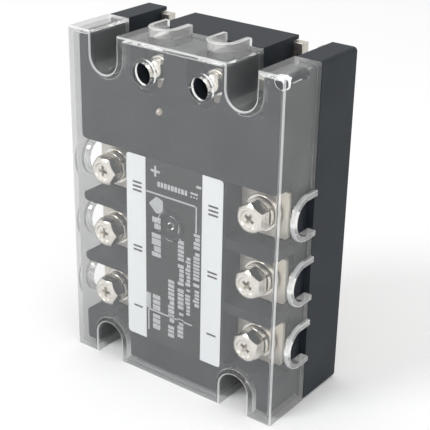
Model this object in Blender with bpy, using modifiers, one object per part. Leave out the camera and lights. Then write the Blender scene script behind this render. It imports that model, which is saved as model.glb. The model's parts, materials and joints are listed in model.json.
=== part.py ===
"""A three-phase solid state relay with a clear snap-on cover, as separate solid parts.

The relay stands on its short end. X runs across the case, Z along it, and the front faces -Y.
Everything is in metres, and the origin is the middle of the case's footprint.
A depth is measured back from the cover's front.
"""

import math

import bmesh
import bpy

# Case
WIDTH = 0.075
HEIGHT = 0.105
DEPTH = 0.0355
GAP = 0.0003
REACH = 0.002    # how far a cutting tool runs past the face it cuts through

# Clear cover
COVER_WALL = 0.0014
COVER_DEPTH = 0.017
MARK_RADIUS = 0.0048

# U notches for the mounting bolts, two in each short end
NOTCH_X = 0.024
NOTCH_RADIUS = 0.005
NOTCH_CENTRE = 0.007
NOTCH_WALL = 0.0005
REAR_NOTCH_RADIUS = NOTCH_RADIUS + 0.0005

# Housing
PLATEAU_DEPTH = 0.0032
SHOULDER_DEPTH = COVER_DEPTH + GAP
SIDE_INSET = 0.0022
HOUSING_WALL = 0.002
REAR_CAVITY_DEPTH = 0.020
FRONT_CAVITY_DEPTH = 0.0052
HOUSING_BACK_DEPTH = DEPTH - 0.0005
FRONT_CAVITY_BOTTOM = 0.0095
FRONT_CAVITY_TOP = 0.088
REAR_CORNER = 0.0012
FRONT_CORNER = 0.001

# Base plate
BASE_THICKNESS = 0.0032
BASE_INSET = 0.0015
BASE_SLOT_RADIUS = 0.0024

# Main terminals, three on each side
MAIN_X = 0.0267
MAIN_PITCH = 0.0203
MAIN_MIDDLE_Z = 0.0419
POCKET_INNER_X = 0.0182
POCKET_HEIGHT = 0.0171
POCKET_DEPTH = 0.0115
MAIN_PLATE_DEPTH = 0.0097
MAIN_PLATE_THICKNESS = 0.0015
MAIN_PLATE_HEIGHT = 0.0142
MAIN_PLATE_OUTER_X = 0.0338
MAIN_PLATE_INNER_X = 0.0189
MAIN_PLATE_CORNER = 0.0008
LEG_INNER_X = MAIN_PLATE_INNER_X + 0.0002
LEG_HEIGHT = 0.010
LEG_THICKNESS = 0.0013
FOOT_INNER_X = 0.006
FOOT_DEPTH = 0.0290
FOOT_THICKNESS = 0.0012

# Main terminal screws, M5
MAIN_THREAD_RADIUS = 0.0025
MAIN_HEAD_ACROSS_FLATS = 0.008
MAIN_HEAD_DEPTH = 0.0018
MAIN_HEAD_HEIGHT = 0.0042
MAIN_CROSS = (0.0022, 0.0005, 0.0018)    # half length, half width and depth of the recess
MAIN_HEAD_TURNS = {"left": 0, "right": 30}
MAIN_TIP_DEPTH = 0.0175
SPRING_WASHER_RADIUS = 0.0046
SPRING_WASHER_THICKNESS = 0.0014
FLAT_WASHER_RADIUS = 0.0055
FLAT_WASHER_THICKNESS = 0.0011
MAIN_NUT_ACROSS_FLATS = 0.008
MAIN_NUT_THICKNESS = 0.004

# Input terminals, M4, at the top end
INPUT_X = 0.010
INPUT_Z = 0.0959
WELL_RADIUS = 0.006
WELL_DEPTH = 0.0105
ACCESS_HOLE_RADIUS = 0.00325
ACCESS_COLLAR_RADIUS = 0.0042
ACCESS_COLLAR_DEPTH = 0.0022
INPUT_THREAD_RADIUS = 0.002
INPUT_HEAD_RADIUS = 0.003
INPUT_HEAD_DEPTH = 0.0056
INPUT_HEAD_HEIGHT = 0.0022
INPUT_CROSS = (0.0018, 0.0004, 0.0016)
INPUT_TIP_DEPTH = 0.0165
INPUT_WASHER_RADIUS = 0.0037
INPUT_WASHER_THICKNESS = 0.0008
INPUT_PLATE_THICKNESS = 0.001
INPUT_EYE_RADIUS = 0.0036
INPUT_TAIL_HALF_WIDTH = 0.0012
INPUT_TAIL_END = 0.0125
TAIL_SLOT_Z = (0.087, 0.092)
INPUT_NUT_ACROSS_FLATS = 0.007
INPUT_NUT_THICKNESS = 0.0032

# Wire entries through the cover
SIDE_ENTRY_RADIUS = 0.0053
SIDE_ENTRY_RIM = 0.0016
SIDE_ENTRY_CENTRE_DEPTH = 0.0125
SIDE_RIM_PROUD = 0.0012
TOP_ENTRY_X = 0.0102
TOP_ENTRY_RADIUS = 0.0034
TOP_ENTRY_RIM = 0.0015
TOP_ENTRY_CENTRE_DEPTH = 0.0111
TOP_RIM_PROUD = 0.0024

# Front face
LED_X = -0.0056
LED_Z = 0.0853
LED_RADIUS = 0.0011
LED_FLANGE_RADIUS = 0.0016
LED_PROUD = 0.0009
LABEL_HALF_WIDTH = 0.0176
LABEL_BOTTOM = 0.0112
LABEL_TOP = 0.0708
LABEL_THICKNESS = 0.0003
LABEL_CORNER = 0.0012

# Control board and what it carries
BOARD_HALF_WIDTH = 0.0156
BOARD_BOTTOM = 0.012
BOARD_TOP = 0.0862
BOARD_DEPTH = 0.0105
BOARD_THICKNESS = 0.0016
OPTOCOUPLER_HALF_WIDTH = 0.0033
OPTOCOUPLER_HALF_HEIGHT = 0.0045
OPTOCOUPLER_THICKNESS = 0.0035
RECTIFIER_X = (-0.012, -0.0055)
RECTIFIER_Z = (0.073, 0.080)
RECTIFIER_THICKNESS = 0.003
CAPACITOR_X = 0.008
CAPACITOR_Z = (0.070, 0.081)
CAPACITOR_RADIUS = 0.0035
RESISTOR_X = -0.0105
RESISTOR_Z = (0.045, 0.056)
RESISTOR_RADIUS = 0.0021

# Power stage, one substrate and two thyristor chips a phase
SUBSTRATE_HALF_WIDTH = 0.0215
SUBSTRATE_HEIGHT = 0.0125
SUBSTRATE_THICKNESS = 0.0007
CHIP_X = 0.012
CHIP_SIZE = 0.0105
CHIP_THICKNESS = 0.0005
POTTING_DEPTH = 0.0222
POTTING_THICKNESS = 0.004

SIDES = (("left", -1), ("right", 1))
ARC_STEPS = 12
ROUND_STEPS = 20


# ---------------------------------------------------------------- scene and materials

def clear_scene():
    for thing in list(bpy.data.objects):
        bpy.data.objects.remove(thing)


def new_collection(name):
    collection = bpy.data.collections.new(name)
    bpy.context.scene.collection.children.link(collection)
    return collection


def material(name, colour, roughness, metallic=0.0, transmission=0.0):
    made = bpy.data.materials.new(name)
    made.use_nodes = True
    shader = made.node_tree.nodes["Principled BSDF"]
    shader.inputs["Base Color"].default_value = (*colour, 1)
    shader.inputs["Roughness"].default_value = roughness
    shader.inputs["Metallic"].default_value = metallic
    shader.inputs["Transmission Weight"].default_value = transmission
    made.diffuse_color = (*colour, 1)
    return made


clear_scene()
PARTS = new_collection("solid_state_relay")
CUTTERS = new_collection("cutters")

BLACK_PLASTIC = material("black_plastic", (0.035, 0.039, 0.043), 0.5)
CLEAR_PLASTIC = material("clear_plastic", (0.93, 0.95, 0.96), 0.06, transmission=0.9)
ALUMINIUM = material("aluminium", (0.62, 0.60, 0.57), 0.4, metallic=1)
NICKEL = material("nickel_plate", (0.66, 0.62, 0.56), 0.34, metallic=1)
STEEL = material("zinc_plated_steel", (0.72, 0.70, 0.66), 0.25, metallic=1)
LABEL_FILM = material("label_film", (0.80, 0.82, 0.84), 0.5)
LENS = material("led_lens", (0.75, 0.68, 0.62), 0.2)
BOARD_GREEN = material("board_green", (0.02, 0.12, 0.05), 0.5)
CHIP_BLACK = material("moulded_epoxy", (0.03, 0.03, 0.03), 0.6)
CERAMIC = material("ceramic", (0.85, 0.85, 0.82), 0.6)
SILICON = material("silicon", (0.22, 0.23, 0.26), 0.2, metallic=0.6)
POTTING = material("potting_gel", (0.30, 0.27, 0.22), 0.4)
RESISTOR_BLUE = material("resistor_blue", (0.12, 0.25, 0.42), 0.5)


# ---------------------------------------------------------------- shape helpers

def y_at(depth):
    """The Y of a depth measured back from the cover's front."""
    return depth - DEPTH / 2


def arc(centre, radius, start, end, steps=ARC_STEPS):
    """Points along an arc, its ends included, from start to end degrees."""
    angles = [math.radians(start + (end - start) * i / steps) for i in range(steps + 1)]
    return [(centre[0] + radius * math.cos(a), centre[1] + radius * math.sin(a)) for a in angles]


def circle(centre, radius, steps=ROUND_STEPS):
    return arc(centre, radius, 0, 360, steps)[:-1]


def hexagon(across_flats):
    return circle((0, 0), across_flats / math.sqrt(3), 6)


def rectangle(left, right, bottom, top):
    return [(left, bottom), (right, bottom), (right, top), (left, top)]


def rounded_rectangle(left, right, bottom, top, radius, steps=3):
    return (
        arc((right - radius, bottom + radius), radius, -90, 0, steps)
        + arc((right - radius, top - radius), radius, 0, 90, steps)
        + arc((left + radius, top - radius), radius, 90, 180, steps)
        + arc((left + radius, bottom + radius), radius, 180, 270, steps)
    )


def arch(centre, radius, open_end):
    """A U in two coordinates: a half circle bulging to lower values of the first one, open at open_end."""
    u, v = centre
    return [(open_end, v + radius)] + arc(centre, radius, 90, 270) + [(open_end, v - radius)]


def notched_outline(inset, notch_radius):
    """The case seen from the front, inset from its full size, with the four U notches of this radius."""
    left, right = inset - WIDTH / 2, WIDTH / 2 - inset
    bottom, top = inset, HEIGHT - inset
    points = [(left, bottom)]
    for x in (-NOTCH_X, NOTCH_X):
        points.append((x - notch_radius, bottom))
        points += arc((x, NOTCH_CENTRE), notch_radius, 180, 0)
        points.append((x + notch_radius, bottom))
    points += [(right, bottom), (right, top)]
    for x in (NOTCH_X, -NOTCH_X):
        points.append((x + notch_radius, top))
        points += arc((x, HEIGHT - NOTCH_CENTRE), notch_radius, 0, -180)
        points.append((x - notch_radius, top))
    points.append((left, top))
    return points


# A flat curve lies in X and Y. Each turn stands its thickness along the named axis.
TURNS = {"X": (math.pi / 2, 0, math.pi / 2), "Y": (math.pi / 2, 0, 0), "Z": (0, 0, 0)}


def extruded(name, loops, axis, start, end):
    """A solid with a flat outline, holes included, that runs from start to end along an axis.

    A loop's points are (Y, Z) for axis X, (X, Z) for axis Y and (X, Y) for axis Z.
    """
    curve = bpy.data.curves.new(name, "CURVE")
    curve.dimensions = "2D"
    curve.fill_mode = "BOTH"
    curve.extrude = abs(end - start) / 2
    for loop in loops:
        spline = curve.splines.new("POLY")
        spline.points.add(len(loop) - 1)
        for point, (u, v) in zip(spline.points, loop):
            point.co = (u, v, 0, 1)
        spline.use_cyclic_u = True
    guide = bpy.data.objects.new(name, curve)
    guide.rotation_euler = TURNS[axis]
    guide.location["XYZ".index(axis)] = (start + end) / 2
    PARTS.objects.link(guide)
    return baked(guide)


def baked(thing):
    """The object's evaluated shape as a plain mesh object in world coordinates, in its place."""
    bpy.context.view_layer.update()
    graph = bpy.context.evaluated_depsgraph_get()
    name = thing.name
    mesh = bpy.data.meshes.new_from_object(thing.evaluated_get(graph))
    mesh.transform(thing.matrix_world)
    shape = bmesh.new()
    shape.from_mesh(mesh)
    bmesh.ops.remove_doubles(shape, verts=shape.verts, dist=1e-7)
    bmesh.ops.recalc_face_normals(shape, faces=shape.faces)
    shape.to_mesh(mesh)
    shape.free()
    bpy.data.objects.remove(thing)
    made = bpy.data.objects.new(name, mesh)
    mesh.name = name
    PARTS.objects.link(made)
    return made


def box(name, x, y, z):
    """A box from its two limits along each axis."""
    limits = (x, y, z)
    centre = [(low + high) / 2 for low, high in limits]
    bpy.ops.mesh.primitive_cube_add(size=1, location=centre)
    made = bpy.context.object
    made.name = name
    made.scale = [abs(high - low) for low, high in limits]
    bpy.ops.object.transform_apply(location=True, rotation=False, scale=True)
    moved_to(PARTS, made)
    return made


def drum(name, centre, radius, start, end, steps=ROUND_STEPS):
    """A round bar along Y from start to end, centred on (X, Z)."""
    return extruded(name, [circle(centre, radius, steps)], "Y", start, end)


def moved_to(collection, thing):
    for owner in list(thing.users_collection):
        owner.objects.unlink(thing)
    collection.objects.link(thing)


def combine(target, operation, tools, stage):
    """One Boolean of a whole set of helpers on the target."""
    group = bpy.data.collections.new(f"{target.name}_{stage}")
    CUTTERS.children.link(group)
    for tool in tools:
        moved_to(group, tool)
        tool.hide_render = True
        tool.display_type = "WIRE"
    step = target.modifiers.new(stage, "BOOLEAN")
    step.operation = operation
    step.operand_type = "COLLECTION"
    step.collection = group
    step.solver = "EXACT"


def finish(thing, made_of, smooth_angle=35):
    """Gives a part its material and shades its round faces smooth."""
    thing.data.materials.clear()
    thing.data.materials.append(made_of)
    thing.data.shade_smooth()
    thing.data.set_sharp_from_angle(angle=math.radians(smooth_angle))
    return thing


def copy_at(thing, name, location, turn=(0, 0, 0)):
    """A separate object that shares the mesh of another."""
    made = bpy.data.objects.new(name, thing.data)
    made.location = location
    made.rotation_euler = turn
    PARTS.objects.link(made)
    return made


def main_heights():
    """The Z of the three rows of main terminals, bottom to top."""
    return [MAIN_MIDDLE_Z + row * MAIN_PITCH for row in (-1, 0, 1)]


def main_places():
    """Name ending, side and Z of each main terminal: left_1 is at the bottom left."""
    return [(f"{side}_{row}", sign, z) for side, sign in SIDES for row, z in enumerate(main_heights(), 1)]


# ---------------------------------------------------------------- case

def make_cover():
    cover = extruded("clear_cover", [notched_outline(0, NOTCH_RADIUS)], "Y", y_at(0), y_at(COVER_DEPTH))
    inside = notched_outline(COVER_WALL, NOTCH_RADIUS + COVER_WALL)
    cavity = extruded("cover_cavity", [inside], "Y", y_at(COVER_WALL), y_at(COVER_DEPTH + 0.002))
    combine(cover, "DIFFERENCE", [cavity], "hollow")

    rims = []
    openings = []
    mid_wall = COVER_WALL / 2
    for ending, sign, z in main_places():
        centre = (y_at(SIDE_ENTRY_CENTRE_DEPTH), z)
        rim = arch(centre, SIDE_ENTRY_RADIUS + SIDE_ENTRY_RIM, y_at(COVER_DEPTH))
        rim_ends = (sign * (WIDTH / 2 - mid_wall), sign * (WIDTH / 2 + SIDE_RIM_PROUD))
        rims.append(extruded(f"side_rim_{ending}", [rim], "X", *rim_ends))
        hole = arch(centre, SIDE_ENTRY_RADIUS, y_at(COVER_DEPTH + 0.001))
        hole_ends = (sign * (WIDTH / 2 - 0.003), sign * (WIDTH / 2 + 0.003))
        openings.append(extruded(f"side_entry_{ending}", [hole], "X", *hole_ends))
    for side, sign in SIDES:
        x = sign * TOP_ENTRY_X
        centre = (y_at(TOP_ENTRY_CENTRE_DEPTH), 0)
        rim_radius = TOP_ENTRY_RADIUS + TOP_ENTRY_RIM
        rim = [(x - v, u) for u, v in arch(centre, rim_radius, y_at(COVER_DEPTH))]
        rims.append(extruded(f"top_rim_{side}", [rim], "Z", HEIGHT - mid_wall, HEIGHT + TOP_RIM_PROUD))
        hole = [(x - v, u) for u, v in arch(centre, TOP_ENTRY_RADIUS, y_at(COVER_DEPTH + REACH))]
        openings.append(extruded(f"top_entry_{side}", [hole], "Z", HEIGHT - 0.003, HEIGHT + 0.005))
        place = (sign * INPUT_X, INPUT_Z)
        rims.append(drum(f"access_collar_{side}", place, ACCESS_COLLAR_RADIUS, y_at(0.0005),
                         y_at(ACCESS_COLLAR_DEPTH)))
        openings.append(drum(f"access_hole_{side}", place, ACCESS_HOLE_RADIUS, y_at(-0.001), y_at(0.004)))
    dimple = drum("gate_mark", (0, HEIGHT / 2), MARK_RADIUS, y_at(COVER_WALL - 0.0003), y_at(0.003))
    combine(cover, "UNION", rims, "rims")
    combine(cover, "DIFFERENCE", openings + [dimple], "openings")
    return finish(cover, CLEAR_PLASTIC)


def housing_pockets():
    """What is cut from the solid housing before its bolt walls go in."""
    tools = []
    front = y_at(PLATEAU_DEPTH - 0.002)
    for ending, sign, z in main_places():
        x = (sign * POCKET_INNER_X, sign * (WIDTH / 2 + 0.002))
        z_limits = (z - POCKET_HEIGHT / 2, z + POCKET_HEIGHT / 2)
        tools.append(box(f"pocket_{ending}", x, (front, y_at(POCKET_DEPTH)), z_limits))
    for side, sign in SIDES:
        x = sign * INPUT_X
        well = arc((x, INPUT_Z), WELL_RADIUS, 0, -180)
        well = [(x + WELL_RADIUS, HEIGHT)] + well + [(x - WELL_RADIUS, HEIGHT)]
        tools.append(extruded(f"well_{side}", [well], "Y", front, y_at(WELL_DEPTH)))
    return tools


def housing_cavities():
    """The hollow inside of the housing, and the ways through to it."""
    behind = y_at(DEPTH + 0.002)
    base_room = y_at(DEPTH - BASE_THICKNESS - GAP)
    rear_wall = REAR_NOTCH_RADIUS + HOUSING_WALL
    rear = notched_outline(HOUSING_WALL, rear_wall)
    recess = rectangle(BASE_INSET - GAP - WIDTH / 2, WIDTH / 2 - BASE_INSET + GAP, BASE_INSET - GAP,
                       HEIGHT - BASE_INSET + GAP)
    middle_x = POCKET_INNER_X - HOUSING_WALL
    low = y_at(FRONT_CAVITY_DEPTH)
    high = y_at(REAR_CAVITY_DEPTH + 0.001)
    tools = [
        extruded("base_recess", [recess], "Y", base_room, behind),
        extruded("rear_cavity", [rear], "Y", y_at(REAR_CAVITY_DEPTH), behind - 0.001),
        box("front_cavity", (-middle_x, middle_x), (low, high), (FRONT_CAVITY_BOTTOM, FRONT_CAVITY_TOP)),
        drum("led_hole", (LED_X, LED_Z), LED_RADIUS + GAP, y_at(0.001), y_at(0.007)),
    ]
    for ending, sign, z in main_places():
        leg_x = (sign * (MAIN_PLATE_INNER_X - 0.0001), sign * (MAIN_PLATE_INNER_X + LEG_THICKNESS + 0.0006))
        leg_z = (z - LEG_HEIGHT / 2 - GAP, z + LEG_HEIGHT / 2 + GAP)
        tools.append(box(f"leg_slot_{ending}", leg_x, (y_at(POCKET_DEPTH - 0.001), high), leg_z))
        seat = [(sign * MAIN_X + u, z + v) for u, v in hexagon(MAIN_NUT_ACROSS_FLATS + 2 * GAP)]
        seat_end = y_at(POCKET_DEPTH + MAIN_NUT_THICKNESS + 2 * GAP)
        tools.append(extruded(f"nut_seat_{ending}", [seat], "Y", y_at(POCKET_DEPTH - 0.001), seat_end))
        tools.append(drum(f"tip_hole_{ending}", (sign * MAIN_X, z), MAIN_THREAD_RADIUS + GAP,
                          seat_end - 0.0005, y_at(MAIN_TIP_DEPTH + 0.0005)))
    for side, sign in SIDES:
        x = sign * INPUT_X
        half = INPUT_TAIL_HALF_WIDTH + GAP
        slot_y = (y_at(WELL_DEPTH - 0.0017), y_at(WELL_DEPTH + 0.0001))
        tools.append(box(f"tail_slot_{side}", (x - half, x + half), slot_y, TAIL_SLOT_Z))
        seat = [(x + u, INPUT_Z + v) for u, v in hexagon(INPUT_NUT_ACROSS_FLATS + 2 * GAP)]
        seat_end = y_at(WELL_DEPTH + INPUT_NUT_THICKNESS + 2 * GAP)
        tools.append(extruded(f"input_seat_{side}", [seat], "Y", y_at(WELL_DEPTH - 0.001), seat_end))
        tools.append(drum(f"input_tip_{side}", (x, INPUT_Z), INPUT_THREAD_RADIUS + GAP, seat_end - 0.0005,
                          y_at(INPUT_TIP_DEPTH + 0.0005)))
    return tools


def make_housing():
    shoulder = y_at(SHOULDER_DEPTH)
    outline = rounded_rectangle(-WIDTH / 2, WIDTH / 2, 0, HEIGHT, REAR_CORNER)
    housing = extruded("housing", [outline], "Y", shoulder, y_at(HOUSING_BACK_DEPTH))
    side = WIDTH / 2 - SIDE_INSET
    front = rounded_rectangle(-side, side, SIDE_INSET, HEIGHT - SIDE_INSET, FRONT_CORNER)
    block = extruded("front_block", [front], "Y", y_at(PLATEAU_DEPTH), shoulder + 0.001)
    combine(housing, "UNION", [block], "front")
    combine(housing, "DIFFERENCE", housing_pockets(), "pockets")

    notch_front = NOTCH_RADIUS + COVER_WALL + GAP
    walls = []
    notches = []
    for side, sign in SIDES:
        for end, z, outward in (("bottom", NOTCH_CENTRE, -1), ("top", HEIGHT - NOTCH_CENTRE, 1)):
            x = sign * NOTCH_X
            walls.append(drum(f"bolt_wall_{side}_{end}", (x, z), notch_front + NOTCH_WALL,
                              y_at(PLATEAU_DEPTH), shoulder + 0.0005, 24))
            for name, radius, start, stop in (
                ("front_notch", notch_front, y_at(0), shoulder),
                ("rear_notch", REAR_NOTCH_RADIUS, y_at(POCKET_DEPTH), y_at(DEPTH + REACH)),
            ):
                turn = 180 if outward > 0 else 0
                open_end = z + outward * 0.02
                outline = arc((x, z), radius, turn, turn + 180) + [(x - radius * -outward, open_end),
                                                                   (x - radius * outward, open_end)]
                notches.append(extruded(f"{name}_{side}_{end}", [outline], "Y", start, stop))
    combine(housing, "UNION", walls, "walls")
    combine(housing, "DIFFERENCE", notches, "notches")
    combine(housing, "DIFFERENCE", housing_cavities(), "inside")
    return finish(housing, BLACK_PLASTIC)


def make_base_plate():
    outline = notched_outline(BASE_INSET, BASE_SLOT_RADIUS)
    plate = extruded("base_plate", [outline], "Y", y_at(DEPTH - BASE_THICKNESS), y_at(DEPTH))
    return finish(plate, ALUMINIUM)


# ---------------------------------------------------------------- terminals

def screw_mesh(name, head_outline, head_height, cross, thread_radius, length):
    """A screw along Y with the front of its head at Y = 0."""
    head = extruded(name, [head_outline], "Y", 0, head_height)
    shank = drum("shank", (0, 0), thread_radius, head_height - 0.0005, length, 16)
    half_long, half_wide, cross_depth = cross
    slots = [
        box("slot_x", (-half_long, half_long), (-0.001, cross_depth), (-half_wide, half_wide)),
        box("slot_z", (-half_wide, half_wide), (-0.001, cross_depth), (-half_long, half_long)),
    ]
    combine(head, "UNION", [shank], "shank")
    combine(head, "DIFFERENCE", slots, "cross")
    return finish(baked(head), STEEL)


def ring_mesh(name, outer, inner, thickness):
    ring = extruded(name, [circle((0, 0), outer), circle((0, 0), inner)], "Y", 0, thickness)
    return finish(ring, STEEL)


def split_ring_mesh(name, outer, inner, thickness, split_degrees=12):
    """A spring washer: a ring with a narrow split."""
    outline = arc((0, 0), outer, split_degrees / 2, 360 - split_degrees / 2, ROUND_STEPS)
    outline += arc((0, 0), inner, 360 - split_degrees / 2, split_degrees / 2, ROUND_STEPS)
    return finish(extruded(name, [outline], "Y", 0, thickness), STEEL)


def nut_mesh(name, across_flats, bore, thickness):
    nut = extruded(name, [hexagon(across_flats), circle((0, 0), bore, 16)], "Y", 0, thickness)
    return finish(nut, STEEL)


def main_plate_mesh():
    """The right-hand main terminal's strip, with its middle at X = 0, Z = 0 of the case."""
    half = MAIN_PLATE_HEIGHT / 2
    flat = [
        rounded_rectangle(MAIN_PLATE_INNER_X, MAIN_PLATE_OUTER_X, -half, half, MAIN_PLATE_CORNER),
        circle((MAIN_X, 0), MAIN_THREAD_RADIUS + GAP, 16),
    ]
    end = MAIN_PLATE_DEPTH + MAIN_PLATE_THICKNESS
    plate = extruded("main_plate", flat, "Y", y_at(MAIN_PLATE_DEPTH), y_at(end))
    leg_outer = LEG_INNER_X + LEG_THICKNESS
    foot_end = FOOT_DEPTH + FOOT_THICKNESS
    overlap = 0.0004
    leg = [
        (LEG_INNER_X, y_at(end - overlap)),
        (LEG_INNER_X, y_at(FOOT_DEPTH)),
        (FOOT_INNER_X, y_at(FOOT_DEPTH)),
        (FOOT_INNER_X, y_at(foot_end)),
        (leg_outer, y_at(foot_end)),
        (leg_outer, y_at(end - overlap)),
    ]
    strip = extruded("leg", [leg], "Z", -LEG_HEIGHT / 2, LEG_HEIGHT / 2)
    combine(plate, "UNION", [strip], "leg")
    return finish(baked(plate), NICKEL)


def make_main_terminals():
    stack = MAIN_HEAD_DEPTH + MAIN_HEAD_HEIGHT + GAP
    flat_depth = stack + SPRING_WASHER_THICKNESS + GAP
    bore = MAIN_THREAD_RADIUS + GAP
    screw = screw_mesh("main_screw", hexagon(MAIN_HEAD_ACROSS_FLATS), MAIN_HEAD_HEIGHT, MAIN_CROSS,
                       MAIN_THREAD_RADIUS, MAIN_TIP_DEPTH - MAIN_HEAD_DEPTH)
    spring = split_ring_mesh("spring_washer", SPRING_WASHER_RADIUS, bore, SPRING_WASHER_THICKNESS)
    washer = ring_mesh("flat_washer", FLAT_WASHER_RADIUS, bore, FLAT_WASHER_THICKNESS)
    nut = nut_mesh("main_nut", MAIN_NUT_ACROSS_FLATS, bore, MAIN_NUT_THICKNESS)
    masters = {
        "spring_washer": (spring, stack),
        "flat_washer": (washer, flat_depth),
        "main_nut": (nut, POCKET_DEPTH + GAP),
    }
    plate = main_plate_mesh()
    for ending, sign, z in main_places():
        for name, (master, depth) in masters.items():
            copy_at(master, f"{name}_{ending}", (sign * MAIN_X, y_at(depth), z))
        head_turn = math.radians(MAIN_HEAD_TURNS[ending[:-2]])
        copy_at(screw, f"main_screw_{ending}", (sign * MAIN_X, y_at(MAIN_HEAD_DEPTH), z), (0, head_turn, 0))
        turn = (0, 0, 0) if sign > 0 else (0, math.pi, 0)
        copy_at(plate, f"main_terminal_{ending}", (0, 0, z), turn)
    for master in [screw, plate] + [entry[0] for entry in masters.values()]:
        bpy.data.objects.remove(master)


def make_input_terminals():
    washer_depth = INPUT_HEAD_DEPTH + INPUT_HEAD_HEIGHT + GAP
    plate_depth = washer_depth + INPUT_WASHER_THICKNESS + GAP
    bore = INPUT_THREAD_RADIUS + GAP
    head = circle((0, 0), INPUT_HEAD_RADIUS)
    screw = screw_mesh("input_screw", head, INPUT_HEAD_HEIGHT, INPUT_CROSS, INPUT_THREAD_RADIUS,
                       INPUT_TIP_DEPTH - INPUT_HEAD_DEPTH)
    washer = ring_mesh("input_washer", INPUT_WASHER_RADIUS, bore, INPUT_WASHER_THICKNESS)
    nut = nut_mesh("input_nut", INPUT_NUT_ACROSS_FLATS, bore, INPUT_NUT_THICKNESS)
    tail = INPUT_TAIL_HALF_WIDTH
    meet = math.degrees(math.acos(tail / INPUT_EYE_RADIUS))
    strip = arc((0, 0), INPUT_EYE_RADIUS, -meet, 180 + meet, ROUND_STEPS)
    strip += [(-tail, -INPUT_TAIL_END), (tail, -INPUT_TAIL_END)]
    plate = extruded("input_plate", [strip, circle((0, 0), bore, 16)], "Y", 0, INPUT_PLATE_THICKNESS)
    finish(plate, NICKEL)
    for side, sign in SIDES:
        x = sign * INPUT_X
        copy_at(screw, f"input_screw_{side}", (x, y_at(INPUT_HEAD_DEPTH), INPUT_Z))
        copy_at(washer, f"input_washer_{side}", (x, y_at(washer_depth), INPUT_Z))
        copy_at(plate, f"input_terminal_{side}", (x, y_at(plate_depth), INPUT_Z))
        copy_at(nut, f"input_nut_{side}", (x, y_at(WELL_DEPTH + GAP), INPUT_Z))
    for master in (screw, washer, nut, plate):
        bpy.data.objects.remove(master)


# ---------------------------------------------------------------- front face and inside

def make_label():
    outline = rounded_rectangle(-LABEL_HALF_WIDTH, LABEL_HALF_WIDTH, LABEL_BOTTOM, LABEL_TOP, LABEL_CORNER)
    back = PLATEAU_DEPTH - GAP
    return finish(extruded("label", [outline], "Y", y_at(back - LABEL_THICKNESS), y_at(back)), LABEL_FILM)


def make_led():
    """A small lamp turned about Y: a dome, a body and a flange that stops behind the front wall."""
    tip = PLATEAU_DEPTH - LED_PROUD
    flange = FRONT_CAVITY_DEPTH + 2 * GAP
    base = BOARD_DEPTH - GAP
    dome = [(LED_RADIUS * math.cos(a), LED_RADIUS * (1 - math.sin(a)))
            for a in [math.radians(90 - 90 * i / 4) for i in range(5)]]
    profile = [(r, tip + d) for r, d in dome]
    profile += [(LED_RADIUS, flange), (LED_FLANGE_RADIUS, flange), (LED_FLANGE_RADIUS, base), (0, base)]
    mesh = bpy.data.meshes.new("status_led")
    points = [(max(r, 0), 0, -d) for r, d in profile]
    mesh.from_pydata(points, [(i, i + 1) for i in range(len(points) - 1)], [])
    led = bpy.data.objects.new("status_led", mesh)
    PARTS.objects.link(led)
    led.rotation_euler = (math.pi / 2, 0, 0)
    led.location = (LED_X, y_at(0), LED_Z)
    turn = led.modifiers.new("turn", "SCREW")
    turn.steps = 16
    turn.render_steps = 16
    turn.use_merge_vertices = True
    turn.merge_threshold = 0.00001
    return finish(baked(led), LENS)


def make_board():
    outline = rectangle(-BOARD_HALF_WIDTH, BOARD_HALF_WIDTH, BOARD_BOTTOM, BOARD_TOP)
    end = BOARD_DEPTH + BOARD_THICKNESS
    finish(extruded("control_board", [outline], "Y", y_at(BOARD_DEPTH), y_at(end)), BOARD_GREEN)
    start = y_at(end + GAP)
    opto_x = (-OPTOCOUPLER_HALF_WIDTH, OPTOCOUPLER_HALF_WIDTH)
    for row, z in enumerate(main_heights(), 1):
        opto_z = (z - OPTOCOUPLER_HALF_HEIGHT, z + OPTOCOUPLER_HALF_HEIGHT)
        opto = box(f"optocoupler_{row}", opto_x, (start, start + OPTOCOUPLER_THICKNESS), opto_z)
        finish(opto, CHIP_BLACK)
    rectifier = box("input_rectifier", RECTIFIER_X, (start, start + RECTIFIER_THICKNESS), RECTIFIER_Z)
    finish(rectifier, CHIP_BLACK)
    can = circle((CAPACITOR_X, start + CAPACITOR_RADIUS), CAPACITOR_RADIUS, 16)
    finish(extruded("smoothing_capacitor", [can], "Z", *CAPACITOR_Z), CHIP_BLACK)
    rod = circle((RESISTOR_X, start + RESISTOR_RADIUS), RESISTOR_RADIUS, 12)
    finish(extruded("dropping_resistor", [rod], "Z", *RESISTOR_Z), RESISTOR_BLUE)


def make_power_stage():
    top = DEPTH - BASE_THICKNESS - GAP - SUBSTRATE_THICKNESS
    chip_top = top - GAP - CHIP_THICKNESS
    for row, z in enumerate(main_heights(), 1):
        half = SUBSTRATE_HEIGHT / 2
        finish(box(f"ceramic_substrate_{row}", (-SUBSTRATE_HALF_WIDTH, SUBSTRATE_HALF_WIDTH),
                   (y_at(top), y_at(top + SUBSTRATE_THICKNESS)), (z - half, z + half)), CERAMIC)
    chip_y = (y_at(chip_top), y_at(chip_top + CHIP_THICKNESS))
    half = CHIP_SIZE / 2
    for ending, sign, z in main_places():
        x = sign * CHIP_X
        finish(box(f"thyristor_chip_{ending}", (x - half, x + half), chip_y, (z - half, z + half)), SILICON)


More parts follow.
